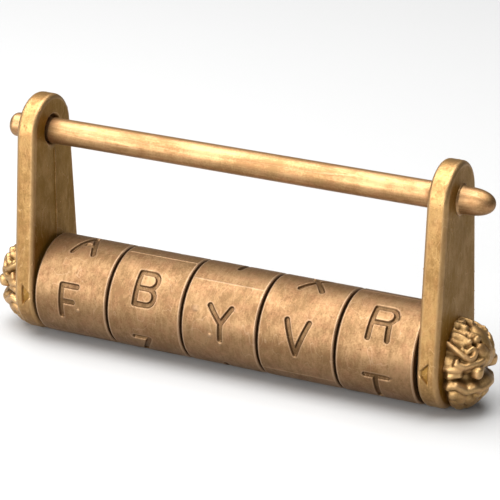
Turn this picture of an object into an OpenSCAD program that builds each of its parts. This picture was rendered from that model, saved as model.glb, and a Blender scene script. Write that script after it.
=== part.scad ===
// Antique-style five-ring letter lock.
// Two side arms stand on a drum of letter rings. A round bar joins the arms at the top.
// The right arm, the bar and a toothed stem are one unit. It slides out of the left arm
// and its slotted tube when the notch of every ward ring is in line with the teeth.
// Origin: middle of the bar, on its axis. +X along the bar, +Z up, -Y to the front.

/* [Letter rings] */
// Distance from one letter ring to the next
ring_pitch = 13.3; // [12:0.1:18]
// Gap between two neighbouring rings
ring_gap = 0.4; // [0.2:0.05:0.8]
// Outside diameter of the letter rings
ring_dia = 16; // [13:0.1:22]
// Wall of a letter sleeve outside its ward ring
sleeve_wall = 1.4; // [1:0.1:1.8]
// Bevel on the rim of a letter ring
ring_bevel = 0.45; // [0.1:0.05:0.5]
// Turn of each letter ring from its index mark, in degrees
ring_turns = [43.5, -5.7, -29.3, 53.4, 7.5];

/* [Letters] */
// Height of a letter
letter_height = 6.1; // [4:0.1:6.5]
// Width of the engraved line
letter_stroke = 0.85; // [0.5:0.05:1.2]
// Depth of the engraving
letter_depth = 0.4; // [0.2:0.05:0.6]
// Half the angle between the two letters of one mould half
letter_offset = 41; // [36:1:45]

/* [Core tube] */
// Outside diameter of the tube that the rings turn on
tube_dia = 8.4; // [7.4:0.1:10.2]
// Bore of the tube
tube_bore = 5.2; // [4.2:0.1:6.3]
// Width of the slot along the top of the tube
slot_width = 2.3; // [2:0.1:2.8]
// Thickness of the closed left end
tube_floor = 1.1; // [0.8:0.1:1.2]
// Thickness of the retaining clip
clip_thick = 0.7; // [0.5:0.1:0.8]

/* [Ward rings] */
// Length of the free chamber in which a tooth stands
chamber_length = 4; // [3.4:0.1:5]
// Recess at the other end of a ring
ward_recess = 1; // [0.9:0.1:1.4]
// Width of the notch that lets a tooth pass
notch_width = 2.5; // [2.3:0.1:3]

/* [Toothed stem] */
// Width of a tooth
tooth_width = 2; // [1.4:0.1:2.1]
// Length of a tooth along the stem
tooth_length = 2.4; // [1.6:0.1:2.8]
// Gap between the tip of a tooth and the letter sleeve
tooth_gap = 0.4; // [0.3:0.05:0.8]

/* [Arms] */
// Thickness of an arm
arm_thick = 3.4; // [2.4:0.1:4]
// Height of the bar's axis above the drum's axis
bar_height = 26; // [20:0.5:34]
// Radius of an arm's rounded top
arm_top_radius = 5.9; // [4.5:0.1:7]
// Gap between an arm and the nearest letter ring
arm_gap = 0.52; // [0.25:0.01:0.8]
// Bevel round the faces of an arm
arm_bevel = 0.6; // [0.2:0.1:0.8]

/* [Shackle bar] */
// Diameter of the bar between the arms
bar_dia = 4.2; // [3.5:0.1:5.2]
// Amount by which the bar's ends are turned down
bar_step = 0.32; // [0.32:0.02:0.5]
// Clearance all round the bar's free end in the left arm
bar_clear = 0.45; // [0.2:0.05:0.7]
// Length of the free end outside the left arm
bar_stub = 4; // [2:0.1:5]
// Length of the bullet cap outside the right arm
cap_length = 5.4; // [4.5:0.1:7]
// Diameter of the bullet cap
cap_dia = 4.4; // [4:0.1:5.6]

/* [Beast heads] */
// Distance that a head stands out from its arm
head_length = 6; // [5.4:0.1:8]
// Rim of the arm that shows round a head
head_rim = 1; // [0.6:0.1:1.6]

/* [Hidden] */
$fn = 96;

// Sliding and turning fits, the overlap of two joined shapes, and the overrun of a cut
run_fit = 0.05;
lap = 0.2;
cut = 0.5;

// Letters on each ring: front upper, front lower, back upper, back lower
RING_LETTERS = ["AFHN", "BZKE", "YITL", "XVMA", "RTHN"];
ring_count = len(RING_LETTERS);

// Drum
drum_z = -bar_height;
ring_radius = ring_dia / 2;
ring_length = ring_pitch - ring_gap;
sleeve_radius = ring_radius - sleeve_wall;
ward_length = ring_length - chamber_length - ward_recess;
drum_half = (ring_count * ring_pitch - ring_gap) / 2;

// Arms
arm_face = drum_half + arm_gap;
arm_back = arm_face + arm_thick;
mark_height = 3.7;
mark_length = 1.65;
mark_depth = 0.45;
mark_inset = 0.3;

// Tube and stem
tube_radius = tube_dia / 2;
bore_radius = tube_bore / 2;
bore_end = arm_face - tube_floor;
groove_depth = 0.45;
groove_radius = tube_radius - groove_depth;
clip_radius = (tube_radius + sleeve_radius) / 2 + lap;
clip_x = drum_half - ward_recess + (ward_recess - clip_thick) / 2;
stem_radius = bore_radius - run_fit;
stem_end_gap = 0.25;
stem_end = bore_end - stem_end_gap;
tooth_stand_off = 0.35;
tooth_radius = sleeve_radius - tooth_gap;

// Keyed ends of the tube and the stem, and the screws that hold the arms on them
key_short = 0.1;
key_depth = arm_thick - key_short;
tube_shoulder = 1.2;
tube_key_radius = tube_radius - tube_shoulder;
stem_shoulder = 0.5;
stem_key_radius = stem_radius - stem_shoulder;
key_flat = 0.78;
screw_radius = 1.2;
screw_head_radius = tube_key_radius + 0.5;
screw_head_thick = 1.3;
screw_length = key_depth + tube_floor;
driver_slot_depth = 0.5;
driver_slot_width = 0.6;

// Bar
bar_radius = bar_dia / 2;
end_radius = bar_radius - bar_step / 2;
hole_radius = end_radius + bar_clear;
hole_rise = bar_clear / 2;
thread_depth = 0.45;
thread_radius = end_radius - thread_depth;
thread_length = 2.6;
stub_round = 0.9;

// Beast heads
head_radius = ring_radius - head_rim;
screw_head_gap = 0.3;
screw_head_side = 0.1;
head_recess = screw_head_thick + screw_head_gap;

module left_arm() {
    color("darkgoldenrod")
    difference() {
        mirror([1, 0, 0]) arm_blank();
        translate([-arm_back, 0, hole_rise]) along_x(arm_thick, hole_radius, cut);
        translate([-arm_back, 0, drum_z]) key(tube_key_radius, arm_thick, cut);
        mirror([1, 0, 0]) index_mark();
    }
}

module right_arm() {
    color("darkgoldenrod")
    difference() {
        arm_blank();
        translate([arm_face, 0, 0]) along_x(arm_thick, end_radius, cut);
        translate([arm_face, 0, drum_z]) key(stem_key_radius, arm_thick, cut);
        index_mark();
    }
}

// Cylinder along +X from the origin, grown by extra at both ends
module along_x(length, radius, extra = 0) {
    translate([-extra, 0, 0]) rotate([0, 90, 0]) cylinder(r = radius, h = length + 2 * extra);
}

// Round key with two flats, along +X
module key(radius, length, extra = 0) {
    intersection() {
        along_x(length, radius, extra);
        translate([-extra, -radius, -radius * key_flat])
            cube([length + 2 * extra, 2 * radius, 2 * radius * key_flat]);
    }
}

// Plate from x = arm_face to arm_back, with straight sides between two round ends
module arm_blank() {
    hull() {
        arm_end(0, arm_top_radius);
        arm_end(drum_z, ring_radius);
    }
}

// Round end of an arm, with a bevel on both faces
module arm_end(z, radius) {
    translate([arm_face, 0, z]) rotate([90, 0, 90]) rotate_extrude($fn = 64) polygon([
        [0, 0],
        [radius - arm_bevel, 0],
        [radius, arm_bevel],
        [radius, arm_thick - arm_bevel],
        [radius - arm_bevel, arm_thick],
        [0, arm_thick]
    ]);
}

// Arrow cut in the front edge of the right arm, pointing at the rings
module index_mark() {
    translate([arm_face + mark_inset, -ring_radius - cut, drum_z]) rotate([-90, 0, 0])
        linear_extrude(mark_depth + cut)
        polygon([[0, 0], [mark_length, mark_height / 2], [mark_length, -mark_height / 2]]);
}

module core_tube() {
    color("peru")
    difference() {
        union() {
            translate([-arm_face, 0, drum_z]) along_x(arm_face + drum_half, tube_radius);
            translate([-arm_face - key_depth, 0, drum_z]) key(tube_key_radius, key_depth + lap);
        }
        translate([-bore_end, 0, drum_z]) along_x(bore_end + drum_half + cut, bore_radius);
        translate([-arm_face - arm_thick, 0, drum_z]) along_x(arm_thick + tube_floor, screw_radius, cut);
        translate([tooth_x(0) - tooth_stand_off, -slot_width / 2, drum_z])
            cube([2 * arm_face, slot_width, tube_radius + cut]);
        translate([clip_x, 0, drum_z]) difference() {
            along_x(clip_thick, tube_radius + cut);
            along_x(clip_thick, groove_radius, cut);
        }
    }
}

// Left face of a tooth, counted from 0 at the left
function tooth_x(i) = ring_x(i) + chamber_length - tooth_stand_off - tooth_length;
function ring_x(i) = i * ring_pitch - drum_half;

// Open clip that sits in the tube's groove and keeps the rings on. The teeth pass its gap
module retaining_clip() {
    color("dimgray")
    translate([clip_x, 0, drum_z]) difference() {
        along_x(clip_thick, clip_radius);
        along_x(clip_thick, groove_radius, cut);
        translate([-cut, -notch_width / 2, 0]) cube([clip_thick + 2 * cut, notch_width, 2 * clip_radius]);
    }
}

// Letter sleeve, with its rims bevelled and four letters cut in
module letter_ring(i) {
    color("burlywood")
    translate([ring_x(i), 0, drum_z]) difference() {
        rotate([90, 0, 90]) rotate_extrude() polygon([
            [sleeve_radius, 0],
            [ring_radius - ring_bevel, 0],
            [ring_radius, ring_bevel],
            [ring_radius, ring_length - ring_bevel],
            [ring_radius - ring_bevel, ring_length],
            [sleeve_radius, ring_length]
        ]);
        intersection() {
            for (j = [0 : 3]) rotate([-letter_angle(i, j), 0, 0]) rotate([90, 0, 0])
                translate([ring_length / 2, 0, ring_radius / 2]) linear_extrude(ring_radius)
                glyph(RING_LETTERS[i][j]);
            difference() {
                along_x(ring_length, ring_radius + cut);
                along_x(ring_length, ring_radius - letter_depth, cut);
            }
        }
    }
}

// Angle of letter j on ring i, from the front and upwards
function letter_angle(i, j) =
    ring_turns[i] + (j < 2 ? 0 : 180) + (j == 0 || j == 3 ? 1 : -1) * letter_offset;

// Ward ring pressed into a sleeve. Its notch is in line with the teeth
module ward_ring(i) {
    color("sienna")
    translate([ring_x(i) + chamber_length, 0, drum_z]) difference() {
        along_x(ward_length, sleeve_radius);
        along_x(ward_length, tube_radius + run_fit, cut);
        translate([-cut, -notch_width / 2, 0])
            cube([ward_length + 2 * cut, notch_width, 2 * sleeve_radius]);
    }
}

// Stem that slides in the tube, with one tooth standing in each ring's chamber
module toothed_stem() {
    color("peru")
    difference() {
        union() {
            translate([-stem_end, 0, drum_z]) along_x(stem_end + arm_face, stem_radius);
            translate([arm_face - lap, 0, drum_z]) key(stem_key_radius, key_depth + lap);
            for (i = [0 : ring_count - 1]) translate([tooth_x(i), -tooth_width / 2, drum_z])
                cube([tooth_length, tooth_width, tooth_radius]);
        }
        translate([arm_face - tube_floor, 0, drum_z]) along_x(screw_length + cut, screw_radius);
    }
}

// Screw that clamps an arm on its keyed end, under the beast head
module arm_screw() {
    color("dimgray")
    translate([arm_back, 0, drum_z]) difference() {
        union() {
            along_x(screw_head_thick, screw_head_radius);
            translate([-screw_length, 0, 0]) along_x(screw_length + lap, screw_radius);
        }
        translate([screw_head_thick - driver_slot_depth, -screw_head_radius, -driver_slot_width / 2])
            cube([driver_slot_depth + cut, 2 * screw_head_radius, driver_slot_width]);
    }
}

// Turned bar: a full middle, a turned-down free end on the left, a threaded end on the right
module shackle_bar() {
    color("khaki")
    rotate([90, 0, 90]) rotate_extrude() {
        translate([0, -arm_face]) square([bar_radius, 2 * arm_face]);
        translate([0, -arm_back - bar_stub + stub_round])
            square([end_radius, arm_thick + bar_stub - stub_round + cut]);
        translate([0, -arm_back - bar_stub]) square([end_radius - stub_round, 2 * stub_round]);
        translate([end_radius - stub_round, -arm_back - bar_stub + stub_round]) intersection() {
            circle(r = stub_round);
            translate([0, -stub_round]) square(stub_round);
        }
        translate([0, arm_face - cut]) square([end_radius, arm_thick + cut]);
        translate([0, arm_back - cut]) square([thread_radius, thread_length + cut]);
    }
}

// Bullet-shaped cap nut on the bar's threaded end
module bar_cap() {
    nose = cap_length / 2;
    color("khaki")
    translate([arm_back, 0, 0]) difference() {
        union() {
            along_x(cap_length - nose, cap_dia / 2);
            translate([cap_length - nose, 0, 0]) rotate([90, 0, 90]) rotate_extrude()
                bullet(cap_dia / 2, nose);
        }
        along_x(thread_length, thread_radius);
        translate([-cut, 0, 0]) along_x(cut + lap, thread_radius);
    }
}

// Half of a pointed arch, r wide and h high
module bullet(r, h) {
    arch = (r * r + h * h) / (2 * r);
    intersection() {
        translate([r - arch, 0]) circle(r = arch);
        square([r, h]);
    }
}

// Beast head, nose outwards: a mane as deep as the arm and narrower than it, a skull,
// a blunt snout over an open jaw, and a brow, an eye, an ear, a cheek and a fang on each side
module beast_head() {
    r = head_radius;
    half_width = r * 0.74;
    color("goldenrod")
    translate([arm_back, 0, drum_z]) difference() {
        union() {
            translate([0, 0, -head_rim]) intersection() {
                along_x(head_length * 0.4, r);
                translate([0, -half_width, -r]) cube([head_length, 2 * half_width, 2 * r]);
            }
            translate([head_length * 0.13, 0, r * 0.05]) sphere(r = r * 0.78);
            translate([head_length - r * 0.36, 0, r * 0.17]) sphere(r = r * 0.36);
            translate([head_length * 0.38, 0, -r * 0.5]) sphere(r = r * 0.5);
            for (side = [-1, 1]) {
                translate([head_length * 0.62, side * r * 0.32, r * 0.5]) sphere(r = r * 0.24);
                translate([head_length * 0.77, side * r * 0.32, r * 0.27]) sphere(r = r * 0.14);
                translate([head_length * 0.3, side * r * 0.5, r * 0.5]) sphere(r = r * 0.2);
                translate([head_length * 0.46, side * r * 0.42, -r * 0.02]) sphere(r = r * 0.32);
                translate([head_length * 0.8, side * r * 0.24, -r * 0.2]) sphere(r = r * 0.1);
            }
        }
        translate([head_length, -r, -r * 0.2]) rotate([-90, 0, 0])
            cylinder(r = r * 0.13, h = 2 * r);
        translate([-cut, 0, 0]) along_x(head_recess + cut, screw_head_radius + screw_head_side);
        translate([-2 * r, -r, -2 * r]) cube([2 * r, 2 * r, 4 * r]);
    }
}

// One engraved line from a to b, with round ends
module stroke(a, b) {
    run = b - a;
    translate(a) rotate(atan2(run[1], run[0])) {
        circle(d = letter_stroke);
        translate([norm(run), 0]) circle(d = letter_stroke);
        translate([0, -letter_stroke / 2]) square([norm(run), letter_stroke]);
    }
}

// Line through a list of points
module path(points) {
    for (k = [1 : len(points) - 1]) stroke(points[k - 1], points[k]);
}

// Right-hand half ring, drawn with the same line
module bowl(centre, radius) {
    translate(centre) intersection() {
        difference() {
            circle(r = radius + letter_stroke / 2);
            circle(r = radius - letter_stroke / 2);
        }
        translate([0, -2 * radius]) square(4 * radius);
    }
}

// Letters that are drawn wider than the rest
WIDE_LETTERS = "AMTVXY";

// Capital letter in the middle of its ring. w and h run from the middle to the line
module glyph(letter) {
    h = (letter_height - letter_stroke) / 2;
    w = h * (len(search(letter, WIDE_LETTERS)) > 0 ? 0.71 : 0.6);
    if (letter == "A") {
        path([[-w, -h], [0, h], [w, -h]]);
        stroke([-w * 0.6, -h * 0.2], [w * 0.6, -h * 0.2]);
    }
    if (letter == "B") {
        path([[w - h / 2, h], [-w * 1.1, h], [-w * 1.1, -h], [w - h / 2, -h]]);
        stroke([-w * 1.1, 0], [w - h / 2, 0]);
        bowl([w - h / 2, h / 2], h / 2);
        bowl([w - h / 2, -h / 2], h / 2);
    }
    if (letter == "E") {
        path([[w, h], [-w, h], [-w, -h], [w, -h]]);
        stroke([-w, 0], [w * 0.6, 0]);
    }
    if (letter == "F") {
        path([[w * 0.7, h], [-w * 1.05, h], [-w * 1.05, -h]]);
        stroke([-w * 1.05, 0], [w * 0.3, 0]);
    }
    if (letter == "H") {
        stroke([-w, h], [-w, -h]);
        stroke([w, h], [w, -h]);
        stroke([-w, 0], [w, 0]);
    }
    if (letter == "I") stroke([0, h], [0, -h]);
    if (letter == "K") {
        stroke([-w, h], [-w, -h]);
        path([[w, h], [-w, 0], [w, -h]]);
    }
    if (letter == "L") path([[-w, h], [-w, -h], [w, -h]]);
    if (letter == "M") path([[-w, -h], [-w, h], [0, 0], [w, h], [w, -h]]);
    if (letter == "N") path([[-w, -h], [-w, h], [w, -h], [w, h]]);
    if (letter == "R") {
        path([[w * 1.3 - h / 2, h], [-w, h], [-w, -h]]);
        stroke([-w, 0], [w * 1.3 - h / 2, 0]);
        bowl([w * 1.3 - h / 2, h / 2], h / 2);
        stroke([w * 0.85, 0], [w * 1.05, -h]);
    }
    if (letter == "T") {
        stroke([-w * 0.85, h], [w * 1.15, h]);
        stroke([w * 0.1, h], [0, -h]);
    }
    if (letter == "V") path([[-w, h], [0, -h], [w, h]]);
    if (letter == "X") {
        stroke([-w, h], [w, -h]);
        stroke([w, h], [-w, -h]);
    }
    if (letter == "Y") {
        path([[-w, h], [w * 0.15, 0], [w, h]]);
        stroke([w * 0.15, 0], [w * 0.15, -h]);
    }
    if (letter == "Z") path([[-w * 1.2, h], [w * 0.4, h], [-w * 1.2, -h], [w * 0.4, -h]]);
}

left_arm();
mirror([1, 0, 0]) beast_head();  // left_beast_head
mirror([1, 0, 0]) arm_screw();  // left_arm_screw
core_tube();
retaining_clip();
letter_ring(0);  // letter_ring_1
letter_ring(1);  // letter_ring_2
letter_ring(2);  // letter_ring_3
letter_ring(3);  // letter_ring_4
letter_ring(4);  // letter_ring_5
ward_ring(0);  // ward_ring_1
ward_ring(1);  // ward_ring_2
ward_ring(2);  // ward_ring_3
ward_ring(3);  // ward_ring_4
ward_ring(4);  // ward_ring_5
right_arm();
beast_head();  // right_beast_head
arm_screw();  // right_arm_screw
toothed_stem();
shackle_bar();
bar_cap();
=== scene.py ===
import math

import bmesh
import bpy
import numpy as np
from mathutils import Matrix, Vector


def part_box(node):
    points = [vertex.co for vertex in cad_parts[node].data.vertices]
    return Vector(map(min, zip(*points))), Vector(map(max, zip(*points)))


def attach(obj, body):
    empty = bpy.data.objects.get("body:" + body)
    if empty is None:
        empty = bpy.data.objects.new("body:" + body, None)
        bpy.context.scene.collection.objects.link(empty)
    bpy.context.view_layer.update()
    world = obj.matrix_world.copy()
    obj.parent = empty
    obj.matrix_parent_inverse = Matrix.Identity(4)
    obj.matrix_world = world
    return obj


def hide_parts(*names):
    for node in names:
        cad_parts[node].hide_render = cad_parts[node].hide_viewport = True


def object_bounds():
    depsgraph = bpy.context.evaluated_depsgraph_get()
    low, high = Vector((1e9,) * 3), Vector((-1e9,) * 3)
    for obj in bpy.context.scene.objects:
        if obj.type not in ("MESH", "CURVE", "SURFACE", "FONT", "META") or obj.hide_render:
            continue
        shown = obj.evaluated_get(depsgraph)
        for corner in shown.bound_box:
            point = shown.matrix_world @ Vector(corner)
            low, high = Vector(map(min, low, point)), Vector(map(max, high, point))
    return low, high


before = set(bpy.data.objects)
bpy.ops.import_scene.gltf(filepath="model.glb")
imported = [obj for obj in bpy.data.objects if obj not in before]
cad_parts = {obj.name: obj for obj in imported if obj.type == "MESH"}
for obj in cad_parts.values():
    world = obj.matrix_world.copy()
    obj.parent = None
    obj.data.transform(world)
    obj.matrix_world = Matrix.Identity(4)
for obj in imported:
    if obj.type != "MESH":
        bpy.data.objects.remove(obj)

cad_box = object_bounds()
MM = 0.001

# ---------------------------------------------------------------- camera
# A long lens from the front, to the right of the middle and above the bar.
azimuth, elevation, roll = math.radians(26.26), math.radians(21.48), math.radians(0.2)
distance = 428.6 * MM
middle = Vector((0, 0, -13 * MM))
towards_camera = Vector((math.sin(azimuth) * math.cos(elevation),
                         -math.cos(azimuth) * math.cos(elevation),
                         math.sin(elevation)))
camera = bpy.data.objects.new("camera", bpy.data.cameras.new("camera"))
bpy.context.scene.collection.objects.link(camera)
camera.data.sensor_width = 36
camera.data.lens = 196.4
camera.location = middle + towards_camera * distance
screen_right = Vector((math.cos(azimuth), math.sin(azimuth), 0))
screen_up = towards_camera.cross(screen_right)
aim = middle + screen_right * 1.51 * MM - screen_up * 1.6 * MM
look = (aim - camera.location).to_track_quat("-Z", "Y").to_matrix().to_4x4()
camera.rotation_euler = (look @ Matrix.Rotation(roll, 4, "Z")).to_euler()
camera.data.clip_start = 0.01
bpy.context.scene.camera = camera

# ---------------------------------------------------------------- shackle bar
# A turned brass rod. Its left end is turned down a little and rounded to enter the left arm,
# its right end is threaded and goes through the right arm into the bullet cap.
right_arm_box, left_arm_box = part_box("right_arm"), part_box("left_arm")
arm_face, arm_back = right_arm_box[0].x, right_arm_box[1].x
bar_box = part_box("shackle_bar")
bar_radius = bar_box[1].z


def skin(name, loops, ring_closed=False, attributes=()):
    """Mesh through equal loops of points, as quads. A loop of one point is a pole."""
    points, starts = [], []
    for loop in loops:
        starts.append(len(points))
        points.extend([tuple(p) for p in loop])
    faces = []
    pairs = list(zip(range(len(loops) - 1), range(1, len(loops))))
    if ring_closed:
        pairs.append((len(loops) - 1, 0))
    for a, b in pairs:
        count = max(len(loops[a]), len(loops[b]))
        for k in range(count):
            m = (k + 1) % count
            if len(loops[a]) == 1:
                faces.append((starts[a], starts[b] + m, starts[b] + k))
            elif len(loops[b]) == 1:
                faces.append((starts[a] + k, starts[a] + m, starts[b]))
            else:
                faces.append((starts[a] + k, starts[a] + m, starts[b] + m, starts[b] + k))
    mesh = bpy.data.meshes.new(name)
    mesh.from_pydata(points, [], faces)
    for label, values in attributes:
        layer = mesh.attributes.new(label, "FLOAT", "POINT")
        layer.data.foreach_set("value", np.asarray(values, np.float32).ravel())
    outward(mesh)
    mesh.polygons.foreach_set("use_smooth", [True] * len(mesh.polygons))
    piece = bpy.data.objects.new(name, mesh)
    bpy.context.scene.collection.objects.link(piece)
    return piece


def outward(mesh):
    """Turns every face of a closed mesh to point out."""
    shell = bmesh.new()
    shell.from_mesh(mesh)
    bmesh.ops.recalc_face_normals(shell, faces=shell.faces)
    shell.to_mesh(mesh)
    shell.free()


def turned(name, profile, z=0.0, steps=96):
    """Solid of revolution about the X direction at height z, from (x, radius) pairs."""
    loops = []
    for x, radius in profile:
        if radius == 0:
            loops.append([(x, 0, z)])
        else:
            turns = np.linspace(0, 2 * math.pi, steps, endpoint=False)
            loops.append([(x, radius * math.cos(t), z + radius * math.sin(t)) for t in turns])
    return skin(name, loops)


def node_adder(tree):
    """Function that adds a node to a tree. Its inputs take values or other nodes' outputs."""
    def add(kind, inputs=None, **settings):
        made = tree.nodes.new(kind)
        for label, value in settings.items():
            setattr(made, label, value)
        for label, value in (inputs or {}).items():
            if isinstance(value, bpy.types.NodeSocket):
                tree.links.new(value, made.inputs[label])
            else:
                made.inputs[label].default_value = value
        return made

    return add


def shader(name):
    """New material. Returns it with its node tree, its surface shader and an add function."""
    material = bpy.data.materials.new(name)
    material.use_nodes = True
    tree = material.node_tree
    return material, tree, tree.nodes["Principled BSDF"], node_adder(tree)


def blend(tree, mix, first, second):
    """Fills the two colours of a colour mix, each a colour or another node's output."""
    for socket, value in ((mix.inputs[6], first), (mix.inputs[7], second)):
        if isinstance(value, bpy.types.NodeSocket):
            tree.links.new(value, socket)
        else:
            socket.default_value = value


def antique_brass(name, tone, shade, patina_and_shade, grain=(1, 1, 1), rough=(0.3, 0.46), mottle=0.8, pits=0.5,
                  bump=0.00003, hairlines=0.25):
    """Plated brass under thin lacquer: uneven tone, brushed grain, pits, hairline scratches,
    dark patina and painted shade where the mesh asks for them, bright metal where handling rubs it off."""
    material, tree, surface, add = shader(name)
    place = add("ShaderNodeTexCoord").outputs["Object"]
    along = add("ShaderNodeMapping", {"Vector": place, "Scale": grain}).outputs["Vector"]
    cloud = add("ShaderNodeTexNoise", {"Vector": place, "Scale": 210.0, "Detail": 7.0, "Roughness": 0.66})
    streak = add("ShaderNodeTexNoise", {"Vector": along, "Scale": 1500.0, "Detail": 5.0, "Roughness": 0.65})
    fine = add("ShaderNodeTexNoise", {"Vector": place, "Scale": 3400.0, "Detail": 3.0, "Roughness": 0.75})
    two = add("ShaderNodeMath", {0: cloud.outputs["Fac"], 1: 1.3, 2: streak.outputs["Fac"]},
              operation="MULTIPLY_ADD")
    three = add("ShaderNodeMath", {0: fine.outputs["Fac"], 1: 0.8, 2: two.outputs[0]},
                operation="MULTIPLY_ADD")
    mottling = add("ShaderNodeMapRange", {"Value": three.outputs[0], "From Min": 1.36, "From Max": 1.74,
                                          "To Min": 0.0, "To Max": mottle})
    base = add("ShaderNodeMix", {"Factor": mottling.outputs["Result"]}, data_type="RGBA")
    blend(tree, base, (*tone, 1), (*shade, 1))
    pit = add("ShaderNodeMapRange", {"Value": fine.outputs["Fac"], "From Min": 0.63, "From Max": 0.74,
                                     "To Min": 0.0, "To Max": pits})
    pitted = add("ShaderNodeMix", {"Factor": pit.outputs["Result"]}, data_type="RGBA")
    blend(tree, pitted, base.outputs[2], (*patina_and_shade, 1))
    warm = add("ShaderNodeTexNoise", {"Vector": place, "Scale": 520.0, "Detail": 4.0, "Roughness": 0.6})
    blush = add("ShaderNodeMapRange", {"Value": warm.outputs["Fac"], "From Min": 0.45, "From Max": 0.62,
                                       "To Min": 0.0, "To Max": 0.5})
    blushed = add("ShaderNodeMix", {"Factor": blush.outputs["Result"]},
                  data_type="RGBA", blend_type="MULTIPLY")
    blend(tree, blushed, pitted.outputs[2], (1.0, 0.86, 0.9, 1))
    # Darker where the mesh asks for it: patina in recesses, and painted shade on the arms' flat faces.
    held = add("ShaderNodeAttribute", attribute_name="patina_and_shade")
    uneven_patina_and_shade = add("ShaderNodeMapRange", {"Value": cloud.outputs["Fac"], "From Min": 0.35,
                                             "From Max": 0.65, "To Min": 0.72, "To Max": 1.0})
    patina_and_shade_amount = add("ShaderNodeMath", {0: held.outputs["Fac"], 1: uneven_patina_and_shade.outputs["Result"]},
               operation="MULTIPLY")
    patina_and_shade_mix = add("ShaderNodeMix", {"Factor": patina_and_shade_amount.outputs[0]}, data_type="RGBA")
    blend(tree, patina_and_shade_mix, blushed.outputs[2], (*patina_and_shade, 1))
    contour = add("ShaderNodeTexNoise", {"Vector": along, "Scale": 260.0, "Detail": 2.0, "Distortion": 0.4})
    line = add("ShaderNodeMath", {0: contour.outputs["Fac"], 1: 0.5, 2: 0.0035}, operation="COMPARE")
    scratch = add("ShaderNodeMath", {0: line.outputs[0], 1: hairlines}, operation="MULTIPLY")
    rubbed = add("ShaderNodeAttribute", attribute_name="worn")
    patchy = add("ShaderNodeMapRange", {"Value": fine.outputs["Fac"], "From Min": 0.3, "From Max": 0.6,
                                        "To Min": 0.55, "To Max": 1.0})
    rub = add("ShaderNodeMath", {0: rubbed.outputs["Fac"], 1: patchy.outputs["Result"],
                                 2: scratch.outputs[0]}, operation="MULTIPLY_ADD", use_clamp=True)
    final = add("ShaderNodeMix", {"Factor": rub.outputs[0]}, data_type="RGBA")
    blend(tree, final, patina_and_shade_mix.outputs[2], tuple(min(1.0, 1.3 * c + 0.07) for c in tone) + (1,))
    tree.links.new(final.outputs[2], surface.inputs["Base Color"])

    gloss = add("ShaderNodeMapRange", {"Value": three.outputs[0], "From Min": 1.25, "From Max": 1.85,
                                       "To Min": rough[0], "To Max": rough[1]})
    duller = add("ShaderNodeMath", {0: held.outputs["Fac"], 1: 0.15, 2: gloss.outputs["Result"]},
                 operation="MULTIPLY_ADD")
    tree.links.new(duller.outputs[0], surface.inputs["Roughness"])
    surface.inputs["Metallic"].default_value = 1.0
    surface.inputs["Coat Weight"].default_value = 0.06
    surface.inputs["Coat Roughness"].default_value = 0.4

    dents = add("ShaderNodeMath", {0: pit.outputs["Result"], 1: -1.2, 2: streak.outputs["Fac"]},
                operation="MULTIPLY_ADD")
    uneven = add("ShaderNodeMath", {0: cloud.outputs["Fac"], 1: 2.0, 2: dents.outputs[0]},
                 operation="MULTIPLY_ADD")
    raised = add("ShaderNodeBump", {"Height": uneven.outputs[0], "Strength": 0.7, "Distance": bump})
    tree.links.new(raised.outputs["Normal"], surface.inputs["Normal"])
    return material


end_radius = 1.94 * MM
stub_x = bar_box[0].x
profile = [(stub_x, 0), (stub_x, end_radius - 1.2 * MM)]
profile += [(stub_x + 1.1 * MM * (1 - math.cos(t)), end_radius - 1.2 * MM * (1 - math.sin(t)))
            for t in np.linspace(0.15, math.pi / 2, 7)]
profile += [(-arm_face - 0.05 * MM, end_radius)]
profile += [(-arm_face, end_radius + 0.02 * MM), (-arm_face + 0.12 * MM, bar_radius - 0.01 * MM)]
profile += [(-arm_face + 0.3 * MM, bar_radius)]
profile += [(x, bar_radius) for x in np.linspace(-arm_face + 2 * MM, arm_face - 2 * MM, 30)]
profile += [(arm_face, bar_radius), (arm_face, end_radius), (bar_box[1].x, end_radius - 0.45 * MM),
            (bar_box[1].x, 0)]
bar = turned("shackle_bar_rod", profile)
bar_metal = antique_brass("bar_brass", (0.37, 0.22, 0.1), (0.21, 0.115, 0.043), (0.09, 0.045, 0.015),
                          grain=(0.05, 1, 1), rough=(0.42, 0.55), mottle=0.8, pits=0.3, bump=0.000014)
bar.data.materials.append(bar_metal)
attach(bar, "shackle")
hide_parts("shackle_bar")

# ---------------------------------------------------------------- bullet cap
# A bullet-shaped cap nut, turned from the same rod and screwed up against the right arm.
cap_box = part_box("bar_cap")
cap_radius = cap_box[1].z
cap_length = cap_box[1].x - cap_box[0].x
foot_flare, foot_length = 0.32 * MM, 0.42 * MM
profile = [(cap_box[0].x, 0), (cap_box[0].x, cap_radius + foot_flare)]
profile += [(cap_box[0].x + foot_length * t, cap_radius + foot_flare * (1 - t) ** 2)
            for t in (0.2, 0.5, 0.8, 1)]
straight = 0.3 * cap_length
profile += [(cap_box[0].x + straight * k / 3, cap_radius * (1 - 0.01 * k)) for k in range(1, 4)]
for k in range(1, 19):
    t = k / 18
    reach = straight + (cap_length - straight) * math.sin(t * math.pi / 2)
    radius = cap_radius * 0.97 * math.cos(t * math.pi / 2) ** 0.86
    profile.append((cap_box[0].x + reach, radius if k < 18 else 0))
cap = turned("bar_cap_bullet", profile)
cap.data.materials.append(bar_metal)
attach(cap, "shackle")
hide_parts("bar_cap")

# ---------------------------------------------------------------- arms
# Two cast brass plates with rounded ends and soft edges. Each has an arrow cut in its front
# edge that points at the letter rings. The left one has a wider hole for the bar's free end.
drum_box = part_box("letter_ring_1")
ring_radius = (drum_box[1].z - drum_box[0].z) / 2
drum_z = (drum_box[1].z + drum_box[0].z) / 2
top_radius = right_arm_box[1].z
arm_thick = arm_back - arm_face
arm_lean = math.asin((ring_radius - top_radius) / -drum_z)
edge_round = 0.8 * MM


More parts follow.
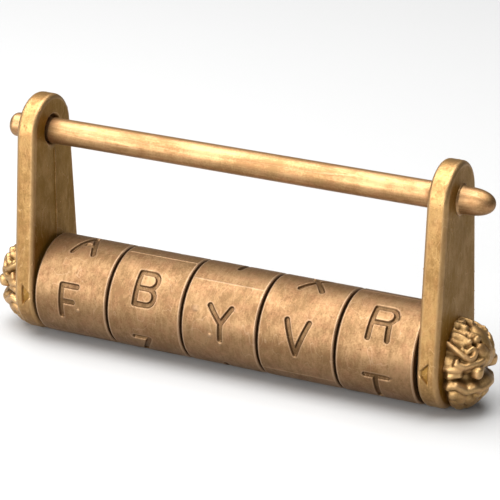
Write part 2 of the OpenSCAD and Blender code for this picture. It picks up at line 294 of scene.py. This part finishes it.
def arm_outline():
    """Points round an arm's side view with their outward normals, closer together at the arrow."""
    points, normals = [], []

    def place(centre_z, radius, angle):
        normal = (math.cos(angle), math.sin(angle))
        points.append((radius * normal[0], centre_z + radius * normal[1]))
        normals.append(normal)

    half_turn = math.pi
    for angle in np.linspace(arm_lean, half_turn - arm_lean, 40):
        place(0, top_radius, angle)
    high = points[-1]
    place(drum_z, ring_radius, half_turn - arm_lean)
    low = points.pop()
    front_normal = normals.pop()
    side_length = math.dist(high, low)
    arrow_start = 1 - 2.4 * MM / side_length
    steps = [*np.linspace(0, arrow_start, 28)[1:], *np.linspace(arrow_start, 1, 24)[1:-1]]
    for t in steps:
        points.append((high[0] + (low[0] - high[0]) * t, high[1] + (low[1] - high[1]) * t))
        normals.append(front_normal)
    arrow_end = half_turn + 0.32
    for angle in np.linspace(half_turn - arm_lean, arrow_end, 32):
        place(drum_z, ring_radius, angle)
    for angle in np.linspace(arrow_end, 2 * half_turn + arm_lean, 48)[1:]:
        place(drum_z, ring_radius, angle)
    start, finish = points[-1], points[0]
    for t in np.linspace(0, 1, 30)[1:-1]:
        points.append((start[0] + (finish[0] - start[0]) * t, start[1] + (finish[1] - start[1]) * t))
        normals.append((math.cos(arm_lean), math.sin(arm_lean)))
    return np.array(points), np.array(normals)


arrow_cut = 0.45 * MM


def arrow_depth(across, height):
    """Depth of the arrow's cut at a point of the front edge. across runs away from the rings."""
    tip, base, half_height = 0.3 * MM, 1.95 * MM, 1.85 * MM
    slope = (base - tip) / half_height
    inside = min((across - tip - slope * abs(height)) / math.hypot(1, slope), base - across)
    t = min(max((inside + 0.05 * MM) / (0.22 * MM), 0), 1)
    return arrow_cut * t * t * (3 - 2 * t)


def side_arm(name, side, hole_radius, hole_z):
    """Closed casting: inner face, rounded edge, side wall, rounded edge, outer face, hole."""
    outline, normals = arm_outline()
    from_hole = outline - (0, hole_z)
    towards = from_hole / np.linalg.norm(from_hole, axis=1)[:, None]
    rim = (0, hole_z) + towards * hole_radius
    chamfer = (0, hole_z) + towards * (hole_radius + 0.3 * MM)

    def layer(x, flat):
        return [(side * (arm_face + x), y, z) for y, z in flat]

    def inset(amount):
        return outline - normals * amount

    loops, worn, patina_and_shade = [], [], []

    def put(loop, wear, darkening):
        loops.append(loop)
        worn.extend(wear if hasattr(wear, "__len__") else [wear] * len(loop))
        patina_and_shade.extend(darkening if hasattr(darkening, "__len__") else [darkening] * len(loop))

    def face(x, outwards):
        # The flat inner and outer faces get the darkest values here: painted shade that darkens the arms'
        # sides, which catch less light than their fronts.
        rows = [(0.0, rim, 0.2, 0.6, -outwards * 0.25 * MM), (0.0, chamfer, 0.35, 0.4, 0)]
        edge = inset(edge_round)
        near = inset(edge_round + 0.08 * MM)
        for t in (0.03, 0.25, 0.5, 0.75):
            rows.append((0, chamfer + (near - chamfer) * t, 0, 0.85, 0))
        rows.append((0, near, 0.0, 0.75, 0))
        rows.append((0, edge, 0.2, 0.35, 0))
        return [(layer(x + shift, flat), wear, darkening) for _, flat, wear, darkening, shift in rows]

    for row in face(0, -1):
        put(*row)
    for t in (0.2, 0.4, 0.6, 0.8):
        turn = t * math.pi / 2
        put(layer(edge_round * (1 - math.cos(turn)), inset(edge_round * (1 - math.sin(turn)))), 0.5, 0.05)
    for x in np.linspace(edge_round, arm_thick - edge_round, 22):
        depth = [arrow_depth(x, z - drum_z) if y < 0 else 0 for y, z in outline]
        flat = outline - normals * np.array(depth)[:, None]
        put(layer(x, flat), 0.12, [min(d / arrow_cut, 1) * 0.8 for d in depth])
    for t in (0.8, 0.6, 0.4, 0.2):
        turn = t * math.pi / 2
        put(layer(arm_thick - edge_round * (1 - math.cos(turn)), inset(edge_round * (1 - math.sin(turn)))),
            0.5, 0.05)
    for row in reversed(face(arm_thick, 1)):
        put(*row)
    return skin(name, loops, ring_closed=True, attributes=[("worn", worn), ("patina_and_shade", patina_and_shade)])


# Its third colour, a dark olive, is painted shade on the arms' flat faces as well as patina in the pits, the
# hole rims and the arrow.
arm_metal = antique_brass("arm_brass", (0.34, 0.20, 0.072), (0.18, 0.093, 0.024), (0.23, 0.118, 0.008),
                          grain=(1, 1, 0.35), rough=(0.4, 0.55), mottle=0.9, pits=0.6, bump=0.00006)
right_arm = side_arm("right_arm_casting", 1, end_radius, 0)
free_hole_radius, free_hole_z = 2.39 * MM, 0.22 * MM
left_arm = side_arm("left_arm_casting", -1, free_hole_radius, free_hole_z)
for arm, body, node in ((right_arm, "shackle", "right_arm"), (left_arm, "lock_body", "left_arm")):
    arm.data.materials.append(arm_metal)
    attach(arm, body)
    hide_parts(node)

def node_tree(name, inputs):
    """Empty Geometry Nodes tree with named inputs, its add function and its inputs' identifiers."""
    tree = bpy.data.node_groups.new(name, "GeometryNodeTree")
    tree.interface.new_socket("Geometry", in_out="INPUT", socket_type="NodeSocketGeometry")
    tree.interface.new_socket("Geometry", in_out="OUTPUT", socket_type="NodeSocketGeometry")
    identifiers = {label: tree.interface.new_socket(label, in_out="INPUT", socket_type=kind).identifier
                   for label, kind in inputs.items()}
    return tree, node_adder(tree), identifiers


def grown(name, mesh, tree, identifiers, sizes):
    """Object whose mesh is what a Geometry Nodes tree makes from a mesh with these input values."""
    piece = bpy.data.objects.new(name, mesh)
    bpy.context.scene.collection.objects.link(piece)
    modifier = piece.modifiers.new(name, "NODES")
    modifier.node_group = tree
    for label, value in sizes.items():
        modifier[identifiers[label]] = value
    result = bpy.data.meshes.new_from_object(piece.evaluated_get(bpy.context.evaluated_depsgraph_get()))
    piece.modifiers.remove(modifier)
    piece.data = result
    outward(result)
    result.polygons.foreach_set("use_smooth", [True] * len(result.polygons))
    return piece


# The seam that the mould's two halves left down the middle of the left arm's inner face: a thin
# round bead along a line that wanders a little.
tree, add, seam_inputs = node_tree("casting_seam", {
    "Top": "NodeSocketVector", "Bottom": "NodeSocketVector", "Thickness": "NodeSocketFloat",
    "Wander": "NodeSocketFloat", "Metal": "NodeSocketMaterial"})
given = add("NodeGroupInput").outputs
line = add("GeometryNodeCurvePrimitiveLine", {"Start": given["Top"], "End": given["Bottom"]})
line = add("GeometryNodeResampleCurve", {"Curve": line.outputs["Curve"], "Count": 60})
drift = add("ShaderNodeTexNoise", {"Scale": 260.0, "Detail": 3.0})
drift = add("ShaderNodeMath", {0: drift.outputs["Fac"], 1: 0.5}, operation="SUBTRACT")
drift = add("ShaderNodeMath", {0: drift.outputs[0], 1: given["Wander"]}, operation="MULTIPLY")
drift = add("ShaderNodeCombineXYZ", {"Y": drift.outputs[0]})
line = add("GeometryNodeSetPosition", {"Geometry": line.outputs["Curve"], "Offset": drift.outputs["Vector"]})
bead = add("GeometryNodeCurvePrimitiveCircle", {"Resolution": 10, "Radius": given["Thickness"]})
seam = add("GeometryNodeCurveToMesh", {
    "Curve": line.outputs["Geometry"], "Profile Curve": bead.outputs["Curve"], "Fill Caps": True})
seam = add("GeometryNodeRealizeInstances", {"Geometry": seam.outputs["Mesh"]})
seam = add("GeometryNodeSetMaterial", {"Geometry": seam.outputs["Geometry"], "Material": given["Metal"]})
add("NodeGroupOutput", {"Geometry": seam.outputs["Geometry"]})
seam = grown("left_arm_casting_seam", bpy.data.meshes.new("left_arm_casting_seam"), tree, seam_inputs, {
    "Top": (-arm_face, 0.4 * MM, -3.2 * MM), "Bottom": (-arm_face, 0.4 * MM, drum_z + 3 * MM),
    "Thickness": 0.13 * MM, "Wander": 0.5 * MM, "Metal": arm_metal})
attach(seam, "lock_body")

# Small round lumps on both castings, where bubbles stood in the mould. Their tops are rubbed.
tree, add, lump_inputs = node_tree("casting_lumps", {
    "Lumps per square metre": "NodeSocketFloat", "Smallest": "NodeSocketFloat", "Largest": "NodeSocketFloat",
    "Rubbed": "NodeSocketFloat", "Seed": "NodeSocketInt", "Metal": "NodeSocketMaterial"})
given = add("NodeGroupInput").outputs
spots = add("GeometryNodeDistributePointsOnFaces", {
    "Mesh": given["Geometry"], "Density": given["Lumps per square metre"], "Seed": given["Seed"]})
lump = add("GeometryNodeMeshIcoSphere", {"Radius": 1.0, "Subdivisions": 2})
size = add("FunctionNodeRandomValue", {2: given["Smallest"], 3: given["Largest"], "Seed": 11},
           data_type="FLOAT")
size = add("ShaderNodeCombineXYZ", {"X": size.outputs[1], "Y": size.outputs[1], "Z": size.outputs[1]})
flat = add("ShaderNodeVectorMath", {0: size.outputs["Vector"], 1: (1.0, 1.0, 0.55)}, operation="MULTIPLY")
lumps = add("GeometryNodeInstanceOnPoints", {
    "Points": spots.outputs["Points"], "Instance": lump.outputs["Mesh"],
    "Rotation": spots.outputs["Rotation"], "Scale": flat.outputs["Vector"]})
lumps = add("GeometryNodeRealizeInstances", {"Geometry": lumps.outputs["Instances"]})
lumps = add("GeometryNodeStoreNamedAttribute", {"Geometry": lumps.outputs["Geometry"], "Name": "worn",
                                               "Value": given["Rubbed"]}, data_type="FLOAT", domain="POINT")
lumps = add("GeometryNodeSetMaterial", {"Geometry": lumps.outputs["Geometry"], "Material": given["Metal"]})
add("NodeGroupOutput", {"Geometry": lumps.outputs["Geometry"]})
for arm, body, seed in ((right_arm, "shackle", 3), (left_arm, "lock_body", 8)):
    lumps = grown(arm.name.replace("casting", "lumps"), arm.data.copy(), tree, lump_inputs, {
        "Lumps per square metre": 90000.0, "Smallest": 0.05 * MM, "Largest": 0.15 * MM,
        "Rubbed": 0.35, "Seed": seed, "Metal": arm_metal})
    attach(lumps, body)

# ---------------------------------------------------------------- letter rings
# Five cast sleeves, plated and rubbed. Each has four capitals sunk in it, two to a mould half,
# a fine raised line where the mould halves met, and rounded rims.
ring_letters = ["AFHN", "BZKE", "YITL", "XVMA", "RTHN"]
ring_turns = [43.5, -5.7, -29.3, 53.4, 7.5]
letter_offset = 41
letter_height, stroke, letter_depth = 6.1 * MM, 0.85 * MM, 0.4 * MM
sleeve_radius = 6.6 * MM


def letter_lines(letter):
    """Straight lines and half-round bowls of a capital, from its middle, as (lines, bowls)."""
    h = (letter_height - stroke) / 2
    w = h * (0.71 if letter in "AMTVXY" else 0.6)
    c = w - h / 2
    strokes = {
        "A": [(-w, -h, 0, h), (0, h, w, -h), (-0.6 * w, -0.2 * h, 0.6 * w, -0.2 * h)],
        "B": [(c, h, -1.1 * w, h), (-1.1 * w, h, -1.1 * w, -h), (-1.1 * w, -h, c, -h), (-1.1 * w, 0, c, 0)],
        "E": [(w, h, -w, h), (-w, h, -w, -h), (-w, -h, w, -h), (-w, 0, 0.6 * w, 0)],
        "F": [(0.7 * w, h, -1.05 * w, h), (-1.05 * w, h, -1.05 * w, -h), (-1.05 * w, 0, 0.3 * w, 0)],
        "H": [(-w, h, -w, -h), (w, h, w, -h), (-w, 0, w, 0)],
        "I": [(0, h, 0, -h)],
        "K": [(-w, h, -w, -h), (w, h, -w, 0), (-w, 0, w, -h)],
        "L": [(-w, h, -w, -h), (-w, -h, w, -h)],
        "M": [(-w, -h, -w, h), (-w, h, 0, 0), (0, 0, w, h), (w, h, w, -h)],
        "N": [(-w, -h, -w, h), (-w, h, w, -h), (w, -h, w, h)],
        "R": [(c + 0.3 * w, h, -w, h), (-w, h, -w, -h), (-w, 0, c + 0.3 * w, 0), (0.85 * w, 0, 1.05 * w, -h)],
        "T": [(-0.85 * w, h, 1.15 * w, h), (0.1 * w, h, 0, -h)],
        "V": [(-w, h, 0, -h), (0, -h, w, h)],
        "X": [(-w, h, w, -h), (w, h, -w, -h)],
        "Y": [(-w, h, 0.15 * w, 0), (0.15 * w, 0, w, h), (0.15 * w, 0, 0.15 * w, -h)],
        "Z": [(-1.2 * w, h, 0.4 * w, h), (0.4 * w, h, -1.2 * w, -h), (-1.2 * w, -h, 0.4 * w, -h)],
    }
    bowls = {"B": [(c, h / 2, h / 2), (c, -h / 2, h / 2)], "R": [(c + 0.3 * w, h / 2, h / 2)]}
    return strokes[letter], bowls.get(letter, [])


def line_distance(letter, u, v):
    """Distance from points (u, v) to the middle line of a letter."""
    lines, bowls = letter_lines(letter)
    near = np.full(u.shape, 1.0)
    for ax, ay, bx, by in lines:
        dx, dy = bx - ax, by - ay
        t = np.clip(((u - ax) * dx + (v - ay) * dy) / (dx * dx + dy * dy), 0, 1)
        near = np.minimum(near, np.hypot(u - ax - t * dx, v - ay - t * dy))
    for cx, cy, r in bowls:
        bowl = np.where(u >= cx, np.abs(np.hypot(u - cx, v - cy) - r), 1.0)
        near = np.minimum(near, bowl)
    return near


def ease(t):
    t = np.clip(t, 0, 1)
    return t * t * (3 - 2 * t)


# Small lumps that the mould left on rings 1 and 3 (numbers 0 and 2): distance from the ring's
# middle in mm, angle in degrees, radius in mm.
casting_pimples = {0: [(1.5, -6, 0.3)], 2: [(-4.2, 25, 0.55), (-1.4, -4, 0.35), (0.3, -13, 0.28)]}


def letter_ring(number):
    """One sleeve. Samples lie close together across the letters and further apart between them."""
    low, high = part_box(f"letter_ring_{number + 1}")
    length = high.x - low.x
    turn = ring_turns[number]
    angles = [turn + letter_offset, turn - letter_offset,
              turn + 180 - letter_offset, turn + 180 + letter_offset]
    seams = [turn + 90, turn - 90]
    steps = []
    degree = -180.0
    while degree < 179.9:
        steps.append(degree)
        to_letter = min(abs((degree - a + 180) % 360 - 180) for a in angles)
        to_seam = min(abs((degree - a + 180) % 360 - 180) for a in seams)
        degree += 0.55 if to_letter < 25 else 0.5 if to_seam < 2 else 1.2
    theta = np.radians(steps)
    bevel = 0.3 * MM
    letter_half = 2.45 * MM
    x_mid = length / 2
    across = np.concatenate([
        np.linspace(bevel + 0.1 * MM, x_mid - letter_half, 10)[:-1],
        np.linspace(x_mid - letter_half, x_mid + letter_half, 76),
        np.linspace(x_mid + letter_half, length - bevel - 0.1 * MM, 10)[1:]])
    grid_x, grid_t = np.meshgrid(across, theta, indexing="ij")
    depth = np.zeros_like(grid_x)
    rubbed = np.zeros_like(grid_x)
    for letter, angle in zip(ring_letters[number], angles):
        turned_by = (grid_t - math.radians(angle) + math.pi) % (2 * math.pi) - math.pi
        v = ring_radius * np.sin(turned_by)
        near = line_distance(letter, grid_x - x_mid, v) - stroke / 2
        here = np.abs(turned_by) < math.radians(35)
        depth = np.maximum(depth, np.where(here, ease((0.06 * MM - near) / (0.24 * MM)), 0))
        lip = np.exp(-((near - 0.12 * MM) / (0.1 * MM)) ** 2)
        rubbed = np.maximum(rubbed, np.where(here, lip, 0))
    radius = ring_radius - letter_depth * depth
    for angle in seams:
        off = ((grid_t - math.radians(angle) + math.pi) % (2 * math.pi) - math.pi) * ring_radius
        radius = radius + 0.05 * MM * np.exp(-(off / (0.1 * MM)) ** 2)
        rubbed = np.maximum(rubbed, 1.5 * np.exp(-(off / (0.11 * MM)) ** 2))
    for x, angle, size in casting_pimples.get(number, []):
        off = ((grid_t - math.radians(angle) + math.pi) % (2 * math.pi) - math.pi) * ring_radius
        far = np.hypot(grid_x - x_mid - x * MM, off) / (size * MM)
        radius = radius + 0.3 * size * MM * np.exp(-far ** 4)
        rubbed = np.maximum(rubbed, 0.8 * np.exp(-far ** 4))

    loops, worn, patina_and_shade = [], [], []

    def loop(x, radii, wear, darkening):
        radii = radii if hasattr(radii, "__len__") else [radii] * len(theta)
        loops.append([(low.x + x, -r * math.cos(t), drum_z + r * math.sin(t)) for r, t in zip(radii, theta)])
        worn.extend(wear if hasattr(wear, "__len__") else [wear] * len(theta))
        patina_and_shade.extend(darkening if hasattr(darkening, "__len__") else [darkening] * len(theta))

    for t in (0.0, 0.05, 0.9, 1.0):
        loop(0, sleeve_radius + (ring_radius - bevel - sleeve_radius) * t, 0.1, 0.4)
    for t in (0.25, 0.5, 0.75, 1.0):
        turn_by = t * math.pi / 2
        loop(bevel * (1 - math.cos(turn_by)), ring_radius - bevel * (1 - math.sin(turn_by)), 0.7, 0)
    for row in range(len(across)):
        wall = 4 * depth[row] * (1 - depth[row])
        loop(across[row], radius[row], 0.4 * rubbed[row], 0.5 * depth[row] + 0.4 * wall)
    for t in (1.0, 0.75, 0.5, 0.25):
        turn_by = t * math.pi / 2
        loop(length - bevel * (1 - math.cos(turn_by)), ring_radius - bevel * (1 - math.sin(turn_by)), 0.7, 0)
    for t in (1.0, 0.9, 0.05, 0.0):
        loop(length, sleeve_radius + (ring_radius - bevel - sleeve_radius) * t, 0.1, 0.4)
    return skin(f"letter_ring_{number + 1}_sleeve", loops, ring_closed=True,
                attributes=[("worn", worn), ("patina_and_shade", patina_and_shade)])


ring_metal = antique_brass("ring_brass", (0.25, 0.149, 0.072), (0.12, 0.064, 0.024), (0.045, 0.022, 0.006),
                           grain=(1, 0.4, 0.4), rough=(0.46, 0.6), mottle=0.62, pits=0.5, bump=0.00004)
for number in range(5):
    ring = letter_ring(number)
    ring.data.materials.append(ring_metal)
    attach(ring, f"dial_{number + 1}")
    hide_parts(f"letter_ring_{number + 1}")

# ---------------------------------------------------------------- beast heads
# Two cast heads that cap the drum's ends, one soldered on each arm over its screw. The mask is
# in high relief: mane, brow, eye, curled whisker, lip, fang, cheek rolls, lower lip and beard.
head_out, head_wide, head_tall, head_drop = 5.3 * MM, 5.3 * MM, 7.0 * MM, 0.9 * MM


def mask_point(turn, rise):
    """Point of the plain skull. turn is 0 straight out and 90 at the front, rise is 90 at the top."""
    turn, rise = np.radians(turn), np.radians(rise)
    out = head_out + MM * np.sin(rise) * np.where(rise > 0, 1.5, -0.6)
    return np.stack([out * np.cos(rise) * np.cos(turn), -head_wide * np.cos(rise) * np.sin(turn),
                     head_tall * np.sin(rise)], -1)


# Raised lines and knobs of one half of the mask as (half width, height, (turn, rise), ...)
mask_relief = [
    (0.50, 0.80, (89, 42), (74, 36), (60, 28), (50, 24), (42, 26), (38, 33), (44, 37), (51, 34)),
    (0.58, 0.60, (70, 17), (56, 14), (46, 16), (36, 17), (26, 18)),
    (0.42, 0.65, (70, 22), (69, 22)),
    (0.48, 0.65, (82, 57), (70, 56), (58, 52), (48, 46)),
    (0.50, 0.90, (49, 46), (47, 46)),
    (0.30, 0.35, (84, 50), (68, 47), (57, 44)),
    (0.36, 0.22, (86, 63), (70, 62), (54, 58)),
    (0.36, 0.22, (84, 69), (66, 68), (48, 64), (34, 58)),
    (0.45, 0.45, (34, 58), (20, 53), (6, 46)),
    (0.62, 0.85, (29, 49), (27, 49)),
    (1.10, 0.45, (0, 62), (0, 48), (0, 34), (0, 24)),
    (0.90, 0.65, (26, 36), (20, 30)),
    (1.00, 0.60, (14, 20), (12, 24)),
    (1.30, 0.25, (0, 20), (0, 16)),
    (0.85, 1.05, (32, 6), (32, 2)),
    (0.55, 0.50, (90, 9), (78, 10), (64, 9)),
    (0.55, 0.45, (90, 0), (78, 1), (62, 2)),
    (0.70, 0.80, (86, -14), (76, -11), (68, -10), (60, -14), (52, -18), (44, -17), (36, -16), (26, -19),
     (16, -18), (0, -16)),
    (0.70, 0.60, (28, -27), (26, -28)),
    (0.80, 0.50, (8, -31), (4, -31)),
    (0.85, 0.50, (74, -28), (66, -25), (60, -29), (58, -36)),
    (0.80, 0.40, (44, -34), (40, -40)),
    (0.90, 0.35, (70, -40), (60, -54), (50, -66)),
    (0.90, 0.35, (30, -36), (24, -50), (18, -64)),
    (0.80, 0.30, (6, -44), (2, -56), (0, -66)),
    (0.60, 0.60, (88, 78), (60, 76), (40, 70)),
    (0.55, 0.50, (86, 84), (40, 84), (0, 82)),
    (0.34, 0.40, (62, 38), (54, 33)),
]
# Sunk lines: the open mouth and the deep fold under the mane
mask_cuts = [
    (1.00, 0.85, (62, -2), (50, -3), (32, -3), (0, -1)),
    (0.45, 0.70, (70, 73), (40, 76), (0, 76)),
    (0.35, 0.35, (88, 28), (76, 26), (66, 24)),
    (0.30, 0.45, (40, 42), (30, 40), (20, 43)),
]


def line_reach(points, stops):
    """Distance from each point to a line over the skull through (turn, rise) stops."""
    stops = np.array(stops, float)
    bends = np.concatenate([np.linspace(a, b, 5)[:-1] for a, b in zip(stops, stops[1:])] + [stops[-1:]])
    knots = mask_point(bends[:, 0], bends[:, 1])
    near = np.full(points.shape[:-1], 1.0)
    for a, b in zip(knots, knots[1:]):
        along = b - a
        t = np.clip(((points - a) @ along) / (along @ along + 1e-12), 0, 1)
        near = np.minimum(near, np.linalg.norm(points - a - t[..., None] * along, axis=-1))
    return near


def soften(grid, passes):
    """Blurs a height grid a little along both directions."""
    for _ in range(passes):
        padded = np.pad(grid, 1, mode="edge")
        grid = (2 * grid + padded[2:, 1:-1] + padded[:-2, 1:-1] + padded[1:-1, 2:] + padded[1:-1, :-2]) / 6
    return grid


def beast_head(name, side):
    """Closed casting: the modelled mask and a flat back that sits on the arm's outer face."""
    rise = np.linspace(-89, 89, 240)
    turn = np.linspace(-90, 90, 230)
    rises, turns = np.meshgrid(rise, turn, indexing="ij")
    skull = mask_point(turns, rises)
    half = skull.copy()
    half[..., 1] = -np.abs(half[..., 1])
    relief = np.zeros(rises.shape)
    for width, height, *stops in mask_relief:
        near = line_reach(half, stops) / (width * MM)
        relief = np.maximum(relief, height * MM * np.sqrt(np.clip(1 - near ** 2, 0, 1)))
    for width, depth, *stops in mask_cuts:
        near = line_reach(half, stops) / (width * MM)
        keep = np.clip(relief / (0.5 * MM), 0, 1)
        relief = relief - (1 - keep) * depth * MM * np.exp(-near ** 4)
    tuck = ease((np.abs(turns) - 80) / 10) * ease((14 - rises) / 14)
    relief = soften(relief, 7) - 0.6 * MM * tuck
    broad = soften(relief, 60)
    hollow = np.clip((broad - relief) / (0.22 * MM), 0, 1)
    ridge = np.clip((relief - broad) / (0.45 * MM), 0, 1)
    outwards = skull / np.linalg.norm(skull, axis=-1, keepdims=True)
    mask = skull + outwards * relief[..., None]
    mask[..., 0] = np.clip(mask[..., 0], 0, None)

    loops, worn, patina_and_shade = [], [], []
    foot, crown = mask_point(90, -90), mask_point(90, 90)

    def place(points):
        return [(side * (arm_back + p[0]), p[1], drum_z - head_drop + p[2]) for p in points]

    def put(points, wear, darkening):
        loops.append(place(points))
        worn.extend(wear)
        patina_and_shade.extend(darkening)

    put([foot * (0, 1, 1)], [0.1], [0.8])
    for row in range(len(rise)):
        back = [mask[row, -1] + (mask[row, 0] - mask[row, -1]) * t for t in np.linspace(0, 1, 14)[1:-1]]
        put(list(mask[row]) + back, list(0.55 * ridge[row]) + [0] * 12, list(hollow[row]) + [0.8] * 12)
    put([crown * (0, 1, 1)], [0.1], [0.8])
    return skin(name, loops, attributes=[("worn", worn), ("patina_and_shade", patina_and_shade)])


head_metal = antique_brass("head_brass", (0.46, 0.29, 0.125), (0.28, 0.165, 0.058), (0.08, 0.04, 0.009),
                           rough=(0.42, 0.56), mottle=0.9, pits=0.5, bump=0.00004)
for side, body, arm_name in ((1, "shackle", "right"), (-1, "lock_body", "left")):
    head = beast_head(f"{arm_name}_beast_mask", side)
    head.data.materials.append(head_metal)
    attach(head, body)
    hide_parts(f"{arm_name}_beast_head")

# ---------------------------------------------------------------- parts inside the drum
# Turned tube and toothed stem, cast ward rings, a spring clip and two screws. They show only
# when the lock is open, and keep the CAD shapes.
core_metal = antique_brass("core_brass", (0.36, 0.23, 0.1), (0.24, 0.145, 0.058), (0.1, 0.055, 0.02),
                           grain=(1, 0.2, 0.2), rough=(0.36, 0.48), mottle=0.4, pits=0.2, bump=0.00001)
ward_metal = antique_brass("ward_brass", (0.34, 0.225, 0.115), (0.22, 0.14, 0.068), (0.1, 0.06, 0.025),
                           rough=(0.42, 0.56), mottle=0.7, pits=0.6, bump=0.00004)
steel = antique_brass("screw_steel", (0.28, 0.27, 0.255), (0.19, 0.18, 0.17), (0.06, 0.05, 0.04),
                      rough=(0.3, 0.42), mottle=0.5, pits=0.3, bump=0.00001)
inside = {"core_tube": core_metal, "toothed_stem": core_metal, "retaining_clip": steel,
          "left_arm_screw": steel, "right_arm_screw": steel}
inside.update({f"ward_ring_{k}": ward_metal for k in range(1, 6)})
for node, metal in inside.items():
    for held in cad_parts[node].material_slots:
        held.material = metal

# ---------------------------------------------------------------- studio
# Plain pale floor just under the drum, a large softbox overhead and a wide one in front.
floor_mesh = bpy.data.meshes.new("floor")
floor_reach = 3.0
floor_z = cad_box[0].z - 0.2 * MM
floor_mesh.from_pydata([(-floor_reach, -floor_reach, floor_z), (floor_reach, -floor_reach, floor_z),
                        (floor_reach, floor_reach, floor_z), (-floor_reach, floor_reach, floor_z)],
                       [], [(0, 1, 2, 3)])
floor = bpy.data.objects.new("floor", floor_mesh)
bpy.context.scene.collection.objects.link(floor)
material, tree, surface, add = shader("pale_floor")
surface.inputs["Base Color"].default_value = (0.36, 0.36, 0.36, 1)
surface.inputs["Roughness"].default_value = 0.8
floor_mesh.materials.append(material)


def softbox(name, place, size, power):
    """Area light aimed at the middle of the lock."""
    light = bpy.data.objects.new(name, bpy.data.lights.new(name, "AREA"))
    bpy.context.scene.collection.objects.link(light)
    light.data.shape = "RECTANGLE"
    light.data.size, light.data.size_y = size
    light.data.energy = power
    light.location = middle + Vector(place)
    light.rotation_euler = (middle - light.location).to_track_quat("-Z", "Y").to_euler()
    return light


softbox("overhead", (-0.1, -0.04, 0.47), (0.6, 0.7), 10.0)
softbox("front", (-0.17, -0.5, 0.15), (0.62, 0.34), 4.6)

world = bpy.data.worlds.new("studio")
bpy.context.scene.world = world
world.use_nodes = True
world.node_tree.nodes["Background"].inputs["Color"].default_value = (1, 1, 1, 1)
world.node_tree.nodes["Background"].inputs["Strength"].default_value = 0.12
bpy.context.scene.view_settings.view_transform = "Standard"
